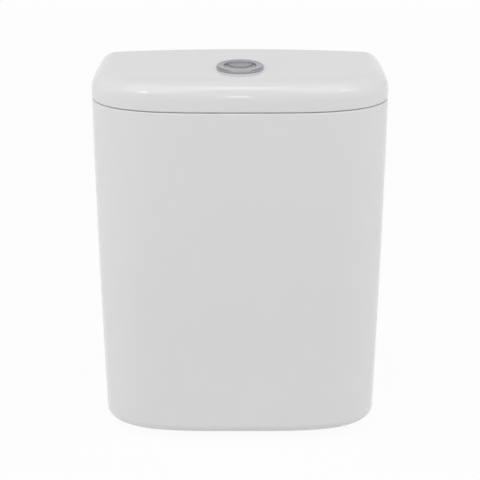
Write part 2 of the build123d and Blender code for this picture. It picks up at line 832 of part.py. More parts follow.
def fill_plunger():
    tip = fill_pivot_height - fill_lever_drop - running_gap
    neck = tip - rod_tip_height
    stem = disc(plunger_radius, fill_cap_top - plunger_depth + plunger_travel, neck, plunger_x)
    return stem + cone(plunger_radius, rod_tip_radius, neck, tip, plunger_x)


def float_cup():
    top = cup_bottom + cup_height
    cup = chamfer(level_edges(disc(cup_radius, cup_bottom, top), top), cup_chamfer)
    guide = riser_radius + cup_guide_gap
    cup -= ring(cup_radius - cup_wall, guide + cup_wall, cup_bottom - overrun, top - cup_roof)
    cup -= disc(guide, cup_bottom - overrun, top + overrun)
    return Pos(inlet_x, 0, 0) * cup


def float_link_rod():
    foot = cup_bottom + cup_height
    rod = disc(link_radius, foot, link_tip - rod_tip_height, link_x)
    rod += cone(link_radius, rod_tip_radius, link_tip - rod_tip_height, link_tip, link_x)
    return rod + disc(link_clip_radius, foot, foot + link_clip_height, link_x)


# Blanking plug

def blanking_plug():
    head_foot = china_floor + plug_washer_thickness
    plug = disc(plug_head_radius, head_foot, head_foot + plug_head_height, -inlet_x)
    return plug + disc(inlet_thread_radius, -plug_thread_length, head_foot, -inlet_x)


def blanking_washer():
    return ring(plug_head_radius, inlet_thread_radius + seat_gap, china_floor,
                china_floor + plug_washer_thickness, -inlet_x)


pieces = {
    "cistern_body": cistern_body(),
    "lid": lid(),
    "button_bezel": button_bezel(),
    "bezel_gasket": bezel_gasket(),
    "lid_nut": lid_nut(),
    "button_housing": button_housing(),
    "full_flush_button": full_flush_button(),
    "half_flush_button": half_flush_button(),
    "full_push_rod": push_rod(full_rod_y),
    "half_push_rod": push_rod(half_rod_y),
    "full_return_spring": return_spring(full_rod_y),
    "half_return_spring": return_spring(half_rod_y),
    "valve_base": valve_base(),
    "valve_base_washer": valve_base_washer(),
    "flush_backnut": flush_backnut(),
    "coupling_gasket": coupling_gasket(),
    "valve_cage": valve_cage(),
    "valve_head": valve_head(),
    "full_lever": valve_lever(1, full_rod_y),
    "half_lever": valve_lever(-1, half_rod_y),
    "full_lever_pin": lever_pin(1, full_rod_y),
    "half_lever_pin": lever_pin(-1, half_rod_y),
    "overflow_tube": overflow_tube(),
    "valve_seal": valve_seal(),
    "seal_clamp": seal_clamp(),
    "lift_yoke": lift_yoke(),
    "half_trip_rod": half_trip_rod(),
    "half_flush_float": half_flush_float(),
    "coupling_bolts": Compound(children=pair(coupling_bolt())),
    "bolt_cone_washers": Compound(children=pair(cone_washer())),
    "bolt_steel_washers": Compound(children=pair(steel_washer())),
    "fill_shank": fill_shank(),
    "fill_washer": fill_washer(),
    "fill_backnut": hex_nut(inlet_x, inlet_nut_height),
    "inlet_filter": inlet_filter(),
    "riser_tube": riser_tube(),
    "riser_lock_collar": lock_collar(),
    "fill_head": fill_head(),
    "fill_cap": fill_cap(),
    "fill_lever": fill_lever(),
    "fill_lever_pin": fill_lever_pin(),
    "fill_plunger": fill_plunger(),
    "float_cup": float_cup(),
    "float_link_rod": float_link_rod(),
    "blanking_plug": blanking_plug(),
    "blanking_washer": blanking_washer(),
    "blanking_backnut": hex_nut(-inlet_x, plug_nut_height),
}

for name, shape in pieces.items():
    save(name, shape)
    print(name, "written")
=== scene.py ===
import bpy
import bmesh
import json
import math
from mathutils import Matrix, Vector


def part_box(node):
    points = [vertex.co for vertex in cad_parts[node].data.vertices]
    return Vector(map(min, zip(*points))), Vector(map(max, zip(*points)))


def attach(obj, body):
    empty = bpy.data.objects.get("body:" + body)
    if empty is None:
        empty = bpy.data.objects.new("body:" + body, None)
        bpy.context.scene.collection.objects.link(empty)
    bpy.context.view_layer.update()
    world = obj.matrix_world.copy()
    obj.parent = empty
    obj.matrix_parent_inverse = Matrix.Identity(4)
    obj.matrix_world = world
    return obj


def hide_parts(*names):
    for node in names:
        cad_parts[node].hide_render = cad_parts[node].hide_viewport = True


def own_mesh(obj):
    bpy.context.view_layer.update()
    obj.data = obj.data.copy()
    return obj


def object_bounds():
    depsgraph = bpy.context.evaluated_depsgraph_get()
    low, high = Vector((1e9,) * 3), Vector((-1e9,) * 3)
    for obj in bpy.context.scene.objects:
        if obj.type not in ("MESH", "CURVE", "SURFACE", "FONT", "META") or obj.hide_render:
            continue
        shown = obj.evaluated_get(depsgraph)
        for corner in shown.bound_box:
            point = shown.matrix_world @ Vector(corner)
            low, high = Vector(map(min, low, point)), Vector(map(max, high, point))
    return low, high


# Close-coupled toilet cistern, in metres: X to the right, -Y to the front, Z up, and the origin
# on the axis of the flush outlet, in the underside of the tank's floor

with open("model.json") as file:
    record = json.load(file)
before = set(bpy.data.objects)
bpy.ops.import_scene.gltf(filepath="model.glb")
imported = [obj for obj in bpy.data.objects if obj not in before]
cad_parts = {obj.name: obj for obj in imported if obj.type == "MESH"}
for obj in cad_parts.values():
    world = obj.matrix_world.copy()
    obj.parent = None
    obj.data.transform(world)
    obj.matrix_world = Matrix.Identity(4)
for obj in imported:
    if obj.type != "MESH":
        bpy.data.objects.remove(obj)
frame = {"nodes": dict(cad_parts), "record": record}
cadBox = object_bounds()
mm = 0.001
weldGap = 0.002 * mm     # points nearer than this become one
sliver = 0.001 * mm      # edges shorter than this go
record = frame["record"]
nodeSlot = {part["node"]: part["material_slot"] for part in record["subparts"]}
nodeBody = {node: body for body, nodes in record["behaviour"]["bodies"].items() for node in nodes}
print("frame loaded:", len(frame["nodes"]), "nodes")


# Small helpers

def linear(hexColour):
    # sRGB hex to the linear values that a shader takes
    shares = [int(hexColour[start:start + 2], 16) / 255 for start in (1, 3, 5)]
    return [share / 12.92 if share <= 0.04045 else ((share + 0.055) / 1.055) ** 2.4
            for share in shares] + [1]


def perMetre(sizeInMm):
    # the scale that gives a pattern this size, on Object coordinates in metres
    return 1 / (sizeInMm * mm)


def addNode(tree, kind, settings={}, values={}, links={}):
    node = tree.nodes.new(kind)
    for name, value in settings.items():
        setattr(node, name, value)
    for name, value in values.items():
        node.inputs[name].default_value = value
    for name, source in links.items():
        tree.links.new(source, node.inputs[name])
    return node


def newMaterial(name):
    material = bpy.data.materials.new(name)
    material.use_nodes = True
    material.node_tree.nodes.clear()
    return material, material.node_tree


def growRing(bm, ring):
    # extrudes a closed ring of vertices and gives the new ring in the same order
    edges = [bm.edges.get((first, second)) for first, second in zip(ring, ring[1:] + ring[:1])]
    grown = bmesh.ops.extrude_edge_only(bm, edges=edges)["geom"]
    fresh = {item for item in grown if isinstance(item, bmesh.types.BMVert)}
    following = []
    for vert in ring:
        across = [edge.other_vert(vert) for edge in vert.link_edges]
        following.append(next(other for other in across if other in fresh))
    return following


def ringShell(rings):
    # a surface through rings of points, each ring extruded from the one before and set in place
    bm = bmesh.new()
    ring = bmesh.ops.create_circle(bm, segments=len(rings[0]), radius=1)["verts"]
    for count, points in enumerate(rings):
        if count:
            ring = growRing(bm, ring)
        for vert, point in zip(ring, points):
            vert.co = point
    return bm


def drawProfile(bm, profile, centre):
    # a closed profile of (radius, height) points beside an upright axis
    verts = [bm.verts.new((centre[0] + radius, centre[1], height)) for radius, height in profile]
    return verts + [bm.edges.new(pair) for pair in zip(verts, verts[1:] + verts[:1])]


def turnedShell(profile, segments, centre=(0, 0)):
    # the profile spun once round its axis
    bm = bmesh.new()
    bmesh.ops.spin(bm, geom=drawProfile(bm, profile, centre), cent=(*centre, 0), axis=(0, 0, 1),
                   angle=2 * math.pi, steps=segments, use_merge=True)
    return bm


def spokeTo(vert, centre):
    # from the upright axis straight out to the vertex
    return Vector((vert.co.x - centre[0], vert.co.y - centre[1]))


def setRadius(vert, centre, radius):
    spoke = spokeTo(vert, centre)
    spoke *= radius / spoke.length
    vert.co.x, vert.co.y = centre[0] + spoke.x, centre[1] + spoke.y


def windUp(profile, turns, pitch, segments, centre=(0, 0), thinEnds=0):
    # the profile wound up its axis, its ends closed and, over thinEnds steps, drawn in
    # to the profile's inner radius
    bm = bmesh.new()
    steps = round(turns * segments)
    bmesh.ops.spin(bm, geom=drawProfile(bm, profile, centre), cent=(*centre, 0), axis=(0, 0, 1),
                   dvec=(0, 0, pitch / segments), angle=2 * math.pi * steps / segments, steps=steps)
    inner = min(radius for radius, height in profile)
    for count, vert in enumerate(bm.verts):
        step = count // len(profile)
        share = min(1, step / thinEnds, (steps - step) / thinEnds) if thinEnds else 1
        setRadius(vert, centre, inner + (spokeTo(vert, centre).length - inner) * share)
    bmesh.ops.edgeloop_fill(bm, edges=[edge for edge in bm.edges if edge.is_boundary])
    return bm


def addShell(bm, shell):
    # one more closed shell in the same piece
    bmesh.ops.recalc_face_normals(shell, faces=shell.faces)
    mesh = bpy.data.meshes.new("shell")
    shell.to_mesh(mesh)
    shell.free()
    bm.from_mesh(mesh)
    bpy.data.meshes.remove(mesh)


def placeInScene(name, data):
    placed = bpy.data.objects.new(name, data)
    bpy.context.scene.collection.objects.link(placed)
    return placed


def meshObject(bm, name):
    mesh = bpy.data.meshes.new(name)
    bm.to_mesh(mesh)
    bm.free()
    return placeInScene(name, mesh)


def finishPiece(bm, name, material, node, sharpAngle=32):
    # closes the seams, turns the faces outwards and puts the piece in the node's place
    bmesh.ops.remove_doubles(bm, verts=bm.verts, dist=weldGap)
    bmesh.ops.dissolve_degenerate(bm, edges=bm.edges, dist=sliver)
    bmesh.ops.recalc_face_normals(bm, faces=bm.faces)
    piece = meshObject(bm, name)
    piece.data.shade_smooth()
    piece.data.set_sharp_from_angle(angle=math.radians(sharpAngle))
    piece.data.materials.append(material)
    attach(piece, nodeBody[node])
    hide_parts(node)
    return piece


def applyModifiers(piece):
    depsgraph = bpy.context.evaluated_depsgraph_get()
    finished = bpy.data.meshes.new_from_object(piece.evaluated_get(depsgraph))
    piece.modifiers.clear()
    piece.data = finished


def weighNormals(piece):
    # flat faces keep flat reflections beside their rounded edges
    modifier = piece.modifiers.new("weighedNormals", "WEIGHTED_NORMAL")
    modifier.keep_sharp = True
    modifier.weight = 60
    applyModifiers(piece)


# Materials

glazeFinish = {
    "colour": "#ececec", "thinColour": "#e9e9e9", "roughness": 0.05, "ior": 1.52,
    "poolSize": 90,      # mm, patches where the glaze ran thicker
    "peelSize": 14,      # mm, the slow ripple of a fired glaze
    "peelDepth": 0.02,   # mm
}


def vitreousChina():
    # slip-cast clay under a clear fired glaze: an even cool white with sharp, faintly rippled
    # reflections
    material, tree = newMaterial("glazedVitreousChina")
    place = addNode(tree, "ShaderNodeTexCoord").outputs["Object"]
    pools = addNode(tree, "ShaderNodeTexNoise",
                    values={"Scale": perMetre(glazeFinish["poolSize"]), "Detail": 2},
                    links={"Vector": place})
    tint = addNode(tree, "ShaderNodeMix", {"data_type": "RGBA"}, links={0: pools.outputs["Fac"]})
    tint.inputs[6].default_value = linear(glazeFinish["thinColour"])
    tint.inputs[7].default_value = linear(glazeFinish["colour"])
    ripple = addNode(tree, "ShaderNodeTexNoise",
                     values={"Scale": perMetre(glazeFinish["peelSize"]), "Detail": 1},
                     links={"Vector": place})
    bump = addNode(tree, "ShaderNodeBump",
                   values={"Strength": 1, "Distance": glazeFinish["peelDepth"] * mm},
                   links={"Height": ripple.outputs["Fac"]})
    shader = addNode(tree, "ShaderNodeBsdfPrincipled",
                     values={"Roughness": glazeFinish["roughness"], "IOR": glazeFinish["ior"]},
                     links={"Base Color": tint.outputs[2], "Normal": bump.outputs["Normal"]})
    addNode(tree, "ShaderNodeOutputMaterial", links={"Surface": shader.outputs["BSDF"]})
    return material


# bright chrome over moulded ABS: a cool grey mirror, softened where fingers press the caps
ringChrome = {
    "name": "chromePlatedAbs", "colour": "#8f9094", "roughness": 0.10, "smearedRoughness": 0.20,
    "smearSize": 9,      # mm, wipe marks
}
# the caps' copy of the chrome has a darker colour, a painted darker reflection; only its smeared
# roughness is real handling
capChromePaintedDarker = {
    "name": "handledChromePlatedAbs", "colour": "#74757a", "roughness": 0.14,
    "smearedRoughness": 0.28, "smearSize": 6,
}
# a lighter copy of the chrome for the ring's turned-down edge: a painted highlight
rimChromePaintedHighlight = {
    "name": "brightChromePlatedAbs", "colour": "#b4b4b9", "roughness": 0.07,
    "smearedRoughness": 0.12, "smearSize": 9,
}


def chromePlate(finish):
    material, tree = newMaterial(finish["name"])
    place = addNode(tree, "ShaderNodeTexCoord").outputs["Object"]
    smear = addNode(tree, "ShaderNodeTexNoise",
                    values={"Scale": perMetre(finish["smearSize"]), "Detail": 4},
                    links={"Vector": place})
    gloss = addNode(tree, "ShaderNodeMapRange",
                    values={"From Min": 0.4, "From Max": 0.7, "To Min": finish["roughness"],
                            "To Max": finish["smearedRoughness"]},
                    links={"Value": smear.outputs["Fac"]})
    shader = addNode(tree, "ShaderNodeBsdfPrincipled",
                     values={"Base Color": linear(finish["colour"]), "Metallic": 1},
                     links={"Roughness": gloss.outputs["Result"]})
    addNode(tree, "ShaderNodeOutputMaterial", links={"Surface": shader.outputs["BSDF"]})
    return material


# moulded pieces: colours, gloss, and the grain that the mould or the cut leaves, in mm
mouldedFinishes = {
    # a slightly warm white with a soft shine
    "valve_white": {"name": "mouldedWhiteAbs", "colour": "#e3e2dc", "shade": "#d8d6cd",
                    "roughness": 0.28, "grain": 0.8, "depth": 0.02, "mottle": 25},
    # a waxy mid grey
    "valve_grey": {"name": "mouldedGreyPolypropylene", "colour": "#9a9fa2", "shade": "#8b9093",
                   "roughness": 0.42, "grain": 1.0, "depth": 0.03, "mottle": 30},
    # a dense, slippery blue
    "valve_blue": {"name": "mouldedBlueAcetal", "colour": "#3468a4", "shade": "#2b5a92",
                   "roughness": 0.33, "grain": 0.9, "depth": 0.02, "mottle": 22},
    # a milky white
    "rod_white": {"name": "mouldedNaturalNylon", "colour": "#dedfd8", "shade": "#cfd0c6",
                  "roughness": 0.38, "grain": 0.7, "depth": 0.02, "mottle": 18},
    # a dull black with a pale bloom
    "black_rubber": {"name": "mouldedEpdmRubber", "colour": "#1d1d1d", "shade": "#272727",
                     "roughness": 0.72, "grain": 0.6, "depth": 0.04, "mottle": 12},
    # a matt brick red
    "seal_silicone": {"name": "mouldedSiliconeRubber", "colour": "#a8382a", "shade": "#963226",
                      "roughness": 0.55, "grain": 0.6, "depth": 0.02, "mottle": 15},
    # black, dead matt and open-pored where it was cut, the pores at about their size
    "foam_gasket": {"name": "closedCellFoamRubber", "colour": "#232323", "shade": "#131313",
                    "roughness": 0.9, "grain": 1.6, "depth": 0.25, "mottle": 6},
}


def mouldedPlastic(finish):
    material, tree = newMaterial(finish["name"])
    place = addNode(tree, "ShaderNodeTexCoord").outputs["Object"]
    mottle = addNode(tree, "ShaderNodeTexNoise",
                     values={"Scale": perMetre(finish["mottle"]), "Detail": 3},
                     links={"Vector": place})
    tint = addNode(tree, "ShaderNodeMix", {"data_type": "RGBA"}, links={0: mottle.outputs["Fac"]})
    tint.inputs[6].default_value = linear(finish["colour"])
    tint.inputs[7].default_value = linear(finish["shade"])
    grain = addNode(tree, "ShaderNodeTexNoise",
                    values={"Scale": perMetre(finish["grain"]), "Detail": 2},
                    links={"Vector": place})
    bump = addNode(tree, "ShaderNodeBump",
                   values={"Strength": 1, "Distance": finish["depth"] * mm},
                   links={"Height": grain.outputs["Fac"]})
    shader = addNode(tree, "ShaderNodeBsdfPrincipled",
                     values={"Roughness": finish["roughness"], "IOR": 1.5},
                     links={"Base Color": tint.outputs[2], "Normal": bump.outputs["Normal"]})
    addNode(tree, "ShaderNodeOutputMaterial", links={"Surface": shader.outputs["BSDF"]})
    return material


steelFinish = {
    "colour": "#b9babb", "roughness": 0.3,
    "brushSize": 0.5, "brushDepth": 0.01,      # mm
    "alongTurn": 0.15,   # of the marks' density along the bar, so that they run round it
}


def stainlessSteel():
    # turned and rolled stainless steel: grey, with fine marks round the bar
    material, tree = newMaterial("turnedStainlessSteel")
    place = addNode(tree, "ShaderNodeTexCoord").outputs["Object"]
    along = steelFinish["alongTurn"]
    stretch = addNode(tree, "ShaderNodeMapping", values={"Scale": (along, along, 1)},
                      links={"Vector": place})
    marks = addNode(tree, "ShaderNodeTexNoise",
                    values={"Scale": perMetre(steelFinish["brushSize"]), "Detail": 3},
                    links={"Vector": stretch.outputs["Vector"]})
    bump = addNode(tree, "ShaderNodeBump",
                   values={"Strength": 1, "Distance": steelFinish["brushDepth"] * mm},
                   links={"Height": marks.outputs["Fac"]})
    shader = addNode(tree, "ShaderNodeBsdfPrincipled",
                     values={"Base Color": linear(steelFinish["colour"]), "Metallic": 1,
                             "Roughness": steelFinish["roughness"]},
                     links={"Normal": bump.outputs["Normal"]})
    addNode(tree, "ShaderNodeOutputMaterial", links={"Surface": shader.outputs["BSDF"]})
    return material


materials = {slot: mouldedPlastic(finish) for slot, finish in mouldedFinishes.items()}
materials["china_glaze"] = vitreousChina()
materials["chrome_plate"] = chromePlate(ringChrome)
# the caps' chrome, with a painted darker reflection in its colour
capChromeWithPaintedShade = chromePlate(capChromePaintedDarker)
rimPaintedHighlightMaterial = chromePlate(rimChromePaintedHighlight)
materials["bolt_steel"] = stainlessSteel()
print("materials made for", len(materials), "slots")


# Outline of the tank and the lid

tankLow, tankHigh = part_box("cistern_body")
tank = {
    # the outside
    "rimHalfWidth": tankHigh[0], "rimFront": tankLow[1], "rimNose": 77.4 * mm,
    "baseHalfWidth": 170 * mm, "baseFront": tankLow[1] + 6 * mm, "baseNose": 76 * mm,
    "bow": 1.1 * mm,             # swell of the walls at half height
    "nosePower": 3.85,           # how square the front curve is
    "drawIn": 5.2 * mm,          # of each side, from the widest point to the wall
    "wallPlane": tankHigh[1], "rim": tankHigh[2], "lowerEdge": tankLow[2],
    "seat": tankHigh[2] - 0.8 * mm,      # a little low, to leave the dark line under the lid
    # the walls, the floor and the roundings between them
    "wall": 9 * mm, "floorTop": 12 * mm, "footWall": 15 * mm,
    "baseRound": 12 * mm, "rimRound": 1 * mm, "rimRise": 2.4 * mm, "floorRound": 8 * mm,
    "roofRound": 2 * mm, "footEdgeRound": 1.5 * mm, "cornerRound": 13 * mm, "rearEdge": 2 * mm,
    # the holes
    "outletHole": 32.5 * mm, "boltHole": 6 * mm, "boltSpacing": 152 * mm,
    "inletHole": 12.5 * mm, "inletX": 112 * mm,
    "screwHole": 4.5 * mm, "screwSpacing": 220 * mm, "screwDrop": 37 * mm,
    "drillSegments": 48, "drillLength": 30 * mm,
    # how finely the curves are drawn
    "curveSteps": 240, "sideSteps": 100,
    "sideRun": 1.4,              # times the run from the widest point to the wall, to pass the wall
    "reach": 14 * mm,            # how far the rings run on behind the wall before the cut
    "reachCorner": 6 * mm, "cutSegments": 4,
    "frontSteps": 84, "cornerSteps": 6, "rearSteps": 10, "wallLevels": 36, "cavityLevels": 12,
    "roofSteps": 3, "footSteps": 3, "baseSteps": 12, "rimSteps": 4, "floorSteps": 6,
    # where rings lie across a flat: close to its corners too, so that it shades flat
    "roofRings": (0, 0.02, 0.15, 0.4, 0.7, 0.97, 1), "footRings": (0.03, 0.25, 0.5, 0.75, 0.97, 1),
    "floorRings": (0.03, 0.3, 0.6, 0.85, 0.98, 1),
}


def sectionAt(height):
    # half width, front and nose length of the tank, on a curve through base, middle and rim
    share = (height - tank["lowerEdge"]) / (tank["rim"] - tank["lowerEdge"])
    base = (tank["baseHalfWidth"], tank["baseFront"], tank["baseNose"])
    rim = (tank["rimHalfWidth"], tank["rimFront"], tank["rimNose"])
    middle = [(low + high) / 2 for low, high in zip(base, rim)]
    middle[0] += tank["bow"]
    middle[1] -= tank["bow"]
    weights = ((1 - share) * (1 - 2 * share), 4 * share * (1 - share), share * (2 * share - 1))
    return [sum(weight * value for weight, value in zip(weights, values))
            for values in zip(base, middle, rim)]


def sampleAlong(points, steps):
    # evenly spaced points along a run of points, both ends included
    lengths = [0]
    for first, second in zip(points, points[1:]):
        lengths.append(lengths[-1] + math.dist(first, second))
    sampled = []
    place = 0
    for step in range(steps + 1):
        target = lengths[-1] * step / steps
        while place < len(points) - 2 and lengths[place + 1] < target:
            place += 1
        span = lengths[place + 1] - lengths[place]
        share = (target - lengths[place]) / span if span else 0
        first, second = points[place], points[place + 1]
        sampled.append(tuple(a + (b - a) * share for a, b in zip(first, second)))
    return sampled


def halfCurve(section):
    # the right half of a section: from the middle of the front, round the nose and along the side
    halfWidth, front, nose = section
    widest = front + nose
    run = tank["wallPlane"] - widest
    curve = []
    for step in range(tank["curveSteps"] + 1):
        across = math.sin(math.pi / 2 * step / tank["curveSteps"])
        back = math.sqrt(max(0, 1 - across ** tank["nosePower"]))
        curve.append((halfWidth * across, widest - nose * back))
    for step in range(1, tank["sideSteps"] + 1):
        share = tank["sideRun"] * step / tank["sideSteps"]
        curve.append((halfWidth - tank["drawIn"] * share ** 2, widest + run * share))
    return curve


def drawnIn(curve, inset):
    # each point moved in, square to the curve, and the direction that faces out there
    moved = []
    for count, (x, y) in enumerate(curve):
        before = curve[count - 1] if count else (-curve[1][0], curve[1][1])
        last = count + 1 == len(curve)
        after = (2 * x - before[0], 2 * y - before[1]) if last else curve[count + 1]
        length = math.dist(before, after)
        outX, outY = (after[1] - before[1]) / length, (before[0] - after[0]) / length
        moved.append((x - inset * outX, y - inset * outY, outX, outY))
    return moved


def outline(section, inset, rear, corner):
    # a closed outline, drawn in by the inset, with a straight rear and round rear corners
    inner = drawnIn(halfCurve(section), inset)
    count = next(count for count, (x, y, outX, outY) in enumerate(inner)
                 if count > tank["curveSteps"] and y > rear - corner * (1 - outY))
    before, after = inner[count - 1], inner[count]
    gapBefore = before[1] - rear + corner * (1 - before[3])
    gapAfter = after[1] - rear + corner * (1 - after[3])
    share = -gapBefore / (gapAfter - gapBefore)
    x, y, outX, outY = [a + (b - a) * share for a, b in zip(before, after)]
    right = sampleAlong([point[:2] for point in inner[:count]] + [(x, y)], tank["frontSteps"])
    centreX, centreY = x - corner * outX, y - corner * outY
    startAngle = math.atan2(outY, outX)
    for step in range(1, tank["cornerSteps"] + 1):
        angle = startAngle + (math.pi / 2 - startAngle) * step / tank["cornerSteps"]
        right.append((centreX + corner * math.cos(angle), centreY + corner * math.sin(angle)))
    lastX = right[-1][0]
    for step in range(1, tank["rearSteps"] + 1):
        right.append((lastX * (1 - step / tank["rearSteps"]), rear))
    left = [(-x, y) for x, y in reversed(right[1:-1])]
    return right + left


def outerOutline(section, inset):
    return outline(section, inset, tank["wallPlane"] + tank["reach"], tank["reachCorner"])


def innerOutline(section, inset, wall):
    return outline(section, inset, tank["wallPlane"] - inset, tank["cornerRound"] + wall - inset)


def roundHole(points, radius):
    # the points of a round hole about the origin that face the points of an outline
    return [tuple(radius * part for part in Vector(point).normalized()) for point in points]


def between(first, second, share):
    return [(a[0] + (b[0] - a[0]) * share, a[1] + (b[1] - a[1]) * share)
            for a, b in zip(first, second)]


def level(points, height):
    return [(x, y, height) for x, y in points]


def quarter(steps, start=0):
    # sine and cosine along a quarter turn
    turns = [math.pi / 2 * step / steps for step in range(start, steps + 1)]
    return [(math.sin(turn), math.cos(turn)) for turn in turns]


def cutAtWall(bm, edgeRound):
    # everything behind the wall plane goes, the cut is closed and its edge is rounded
    cut = bmesh.ops.bisect_plane(bm, geom=bm.verts[:] + bm.edges[:] + bm.faces[:], dist=sliver,
                                 plane_co=(0, tank["wallPlane"], 0), plane_no=(0, 1, 0),
                                 clear_outer=True)["geom_cut"]
    edges = [item for item in cut if isinstance(item, bmesh.types.BMEdge)]
    bmesh.ops.edgeloop_fill(bm, edges=edges)
    bmesh.ops.recalc_face_normals(bm, faces=bm.faces)
    bmesh.ops.bevel(bm, geom=edges, affect="EDGES", offset=edgeRound, offset_type="OFFSET",
                    segments=tank["cutSegments"], profile=0.5, material=-1, clamp_overlap=True)


def glazedPiece(rings, rearEdge, name, node):
    bm = ringShell(rings)
    bmesh.ops.remove_doubles(bm, verts=bm.verts, dist=weldGap)
    cutAtWall(bm, rearEdge)
    return finishPiece(bm, name, materials["china_glaze"], node)


def cutHoles(piece, holes):
    # round holes: (x, y, z, radius, axis)
    bm = bmesh.new()
    for x, y, z, radius, axis in holes:
        turn = Matrix.Rotation(math.pi / 2, 4, "X") if axis == "Y" else Matrix()
        bmesh.ops.create_cone(bm, cap_ends=True, segments=tank["drillSegments"], radius1=radius,
                              radius2=radius, depth=tank["drillLength"],
                              matrix=Matrix.Translation((x, y, z)) @ turn)
    drill = meshObject(bm, "drill")
    modifier = piece.modifiers.new("holes", "BOOLEAN")
    modifier.operation = "DIFFERENCE"
    modifier.solver = "EXACT"
    modifier.object = drill
    applyModifiers(piece)
    bpy.data.objects.remove(drill)


# Threads: a helical ridge on a core drawn in to the thread's root

threads = {
    # node: crest radius, depth and pitch, the axes' places on X and the runs of thread, in mm
    "valve_base": {"crest": 29.8, "depth": 1.2, "pitch": 3.0, "segments": 60, "axes": [0],
                   "runs": [(-31.5, -0.5)]},
    "fill_shank": {"crest": 10.45, "depth": 0.85, "pitch": 1.814, "segments": 36, "axes": [112],
                   "runs": [(-39.6, -14.2), (-11.8, -0.5)]},
    "blanking_plug": {"crest": 10.45, "depth": 0.85, "pitch": 1.814, "segments": 36,
                      "axes": [-112], "runs": [(-17.5, -0.5)]},
    "coupling_bolts": {"crest": 4.0, "depth": 0.6, "pitch": 1.25, "segments": 22,
                       "axes": [-76, 76], "runs": [(-44.6, -4.2)]},
    "button_bezel": {"crest": 23.0, "depth": 1.2, "pitch": 3.0, "segments": 56, "axes": [0],
                     "runs": [(388.4, 412.8)]},
}
ridge = {
    "halfFoot": 0.42, "halfCrest": 0.09,      # in shares of the pitch
    "sunk": 0.1,                 # mm of the ridge inside the core
    "onCrest": 0.03,             # mm, how near the crest a point of the plain cylinder lies
    "thinShare": 3,              # each end thins out over this part of a turn: a third
}


def cutThread(bm, node):
    thread = threads[node]
    crest, depth, pitch = [thread[name] * mm for name in ("crest", "depth", "pitch")]
    core = crest - depth
    foot = core - ridge["sunk"] * mm
    profile = [(foot, -ridge["halfFoot"] * pitch), (crest, -ridge["halfCrest"] * pitch),
               (crest, ridge["halfCrest"] * pitch), (foot, ridge["halfFoot"] * pitch)]
    for axis in thread["axes"]:
        centre = (axis * mm, 0)
        for vert in bm.verts:
            if abs(spokeTo(vert, centre).length - crest) < ridge["onCrest"] * mm:
                setRadius(vert, centre, core)
        for low, high in thread["runs"]:
            placed = [(radius, low * mm + pitch / 2 + height) for radius, height in profile]
            turns = (high - low) * mm / pitch - 1
            addShell(bm, windUp(placed, turns, pitch, thread["segments"], centre,
                                thread["segments"] // ridge["thinShare"]))


# China tank

def makeTank():
    wall, footWall, floorTop = tank["wall"], tank["footWall"], tank["floorTop"]
    baseRound, rimRound, floorRound = tank["baseRound"], tank["rimRound"], tank["floorRound"]
    roofRound, footEdge, rimRise = tank["roofRound"], tank["footEdgeRound"], tank["rimRise"]
    rings = []

    def outside(inset, height):
        rings.append(level(outerOutline(sectionAt(height), inset), height))

    def inside(inset, height, wallHere):
        rings.append(level(innerOutline(sectionAt(height), inset, wallHere), height))

    # under the floor: from the outlet to the foot's wall, down it and round its edge
    roof = innerOutline(sectionAt(0), footWall + roofRound, footWall)
    outlet = roundHole(roof, tank["outletHole"])
    for share in tank["roofRings"]:
        rings.append(level(between(outlet, roof, share), 0))
    for sine, cosine in quarter(tank["roofSteps"], 1):
        inside(footWall + roofRound * (1 - sine), -roofRound * (1 - cosine), footWall)
    footTop, footLow = -roofRound, tank["lowerEdge"] + footEdge
    for share in tank["footRings"]:
        inside(footWall, footTop + (footLow - footTop) * share, footWall)
    for sine, cosine in quarter(tank["footSteps"], 1):
        inside(footWall - footEdge * (1 - cosine), footLow - footEdge * sine, footWall)
    # up the outside and over the rim
    for sine, cosine in quarter(tank["baseSteps"]):
        outside(baseRound * (1 - sine), tank["lowerEdge"] + baseRound * (1 - cosine))
    wallLow, wallTop = tank["lowerEdge"] + baseRound, tank["seat"] - rimRise
    for step in range(1, tank["wallLevels"] + 1):
        outside(0, wallLow + (wallTop - wallLow) * step / tank["wallLevels"])
    for sine, cosine in quarter(tank["rimSteps"], 1):
        outside(rimRound * (1 - cosine), wallTop + rimRise * sine)
    for sine, cosine in quarter(tank["rimSteps"]):
        inside(wall - rimRound * (1 - sine), tank["seat"] - rimRound * (1 - cosine), wall)
    # down the inside, across the floor and through it at the outlet
    cavityFoot = floorTop + floorRound
    for step in range(1, tank["cavityLevels"] + 1):
        inside(wall, wallTop + (cavityFoot - wallTop) * step / tank["cavityLevels"], wall)
    for sine, cosine in quarter(tank["floorSteps"], 1):
        inside(wall + floorRound * (1 - cosine), cavityFoot - floorRound * sine, wall)
    floor = innerOutline(sectionAt(floorTop), wall + floorRound, wall)
    for share in tank["floorRings"]:
        rings.append(level(between(floor, outlet, share), floorTop))
    rings.append(level(outlet, floorTop / 2))
    rings.append(level(outlet, 0))

    piece = glazedPiece(rings, tank["rearEdge"], "chinaTank", "cistern_body")
    holes = []
    for side in (-1, 1):
        holes.append((side * tank["boltSpacing"] / 2, 0, floorTop / 2, tank["boltHole"], "Z"))
        holes.append((side * tank["inletX"], 0, floorTop / 2, tank["inletHole"], "Z"))
        holes.append((side * tank["screwSpacing"] / 2, tank["wallPlane"],
                      tank["rim"] - tank["screwDrop"], tank["screwHole"], "Y"))
    cutHoles(piece, holes)
    weighNormals(piece)


makeTank()
print("tank made")


# China lid

